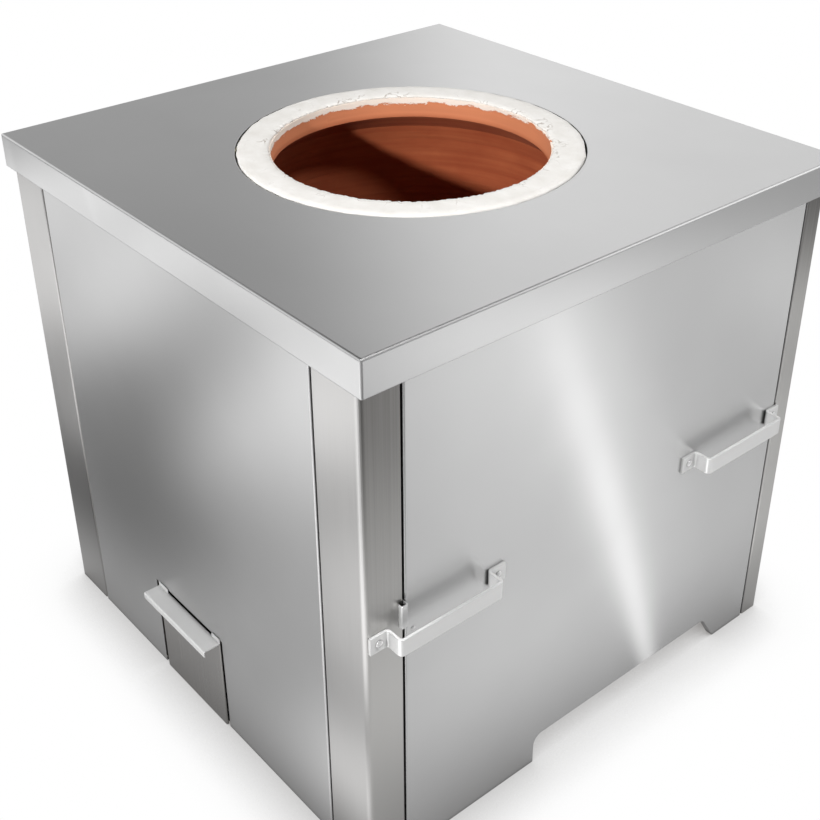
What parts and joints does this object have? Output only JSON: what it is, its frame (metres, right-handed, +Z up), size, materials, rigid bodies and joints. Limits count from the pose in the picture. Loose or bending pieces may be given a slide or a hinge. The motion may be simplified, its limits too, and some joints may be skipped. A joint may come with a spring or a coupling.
{
  "type": "clay tandoor oven",
  "caption": "Square stainless-steel clay oven with a plastered round mouth, bell-shaped clay pot, lifting handles, a kick notch at the base and a pull-out ash door.",
  "frame": {"origin": "centre of the casing's base, on the floor, under the axis of the clay pot", "axes": "+Z up along the pot's axis; -Y is the front, with the ash door; +X is the side with the two handles and the seam clip"},
  "size_m": [0.841, 0.8318, 0.783],
  "materials": {
    "stainless": "satin",
    "mild_steel": "satin",
    "handle_steel": "satin",
    "bright_steel": "gloss",
    "terracotta": "matte",
    "plaster": "matte",
    "firebrick": "matte",
    "fibre": "matte",
    "iron": "matte"
  },
  "bodies": {
    "casing": {"top_sheet": "stainless", "mouth_collar": "plaster", "clay_pot": "terracotta", "insulation_fill": "fibre", "hearth_slab": "firebrick", "post_front_left": "stainless", "post_front_right": "stainless", "post_rear_left": "stainless", "post_rear_right": "stainless", "front_panel": "stainless", "rear_panel": "stainless", "left_panel": "stainless", "right_panel": "stainless", "top_rail_front": "mild_steel", "top_rail_rear": "mild_steel", "top_rail_left": "mild_steel", "top_rail_right": "mild_steel", "base_rail_front_left": "mild_steel", "base_rail_front_right": "mild_steel", "base_rail_rear": "mild_steel", "base_rail_left": "mild_steel", "base_rail_right": "mild_steel", "pot_bearer_front": "mild_steel", "pot_bearer_rear": "mild_steel", "base_tray": "mild_steel", "ash_chute": "mild_steel", "handle_right_front": "handle_steel", "handle_right_rear": "handle_steel", "handle_left_front": "handle_steel", "handle_left_rear": "handle_steel", "handle_screws": "bright_steel", "handle_nuts": "bright_steel", "seam_clip": "bright_steel", "clip_rivet": "bright_steel"},
    "ash_door": {"ash_door": "stainless", "ash_door_pull": "stainless"},
    "grate": {"charcoal_grate": "iron"}
  },
  "joints": [
    {"name": "ash_door_pull_out", "type": "slide", "parent": "casing", "child": "ash_door", "axis": [0, -1, 0], "range_m": [0, 0.1]},
    {"name": "grate_lift_out", "type": "slide", "parent": "casing", "child": "grate", "axis": [0, 0, 1], "range_m": [0, 0.7]}
  ]
}
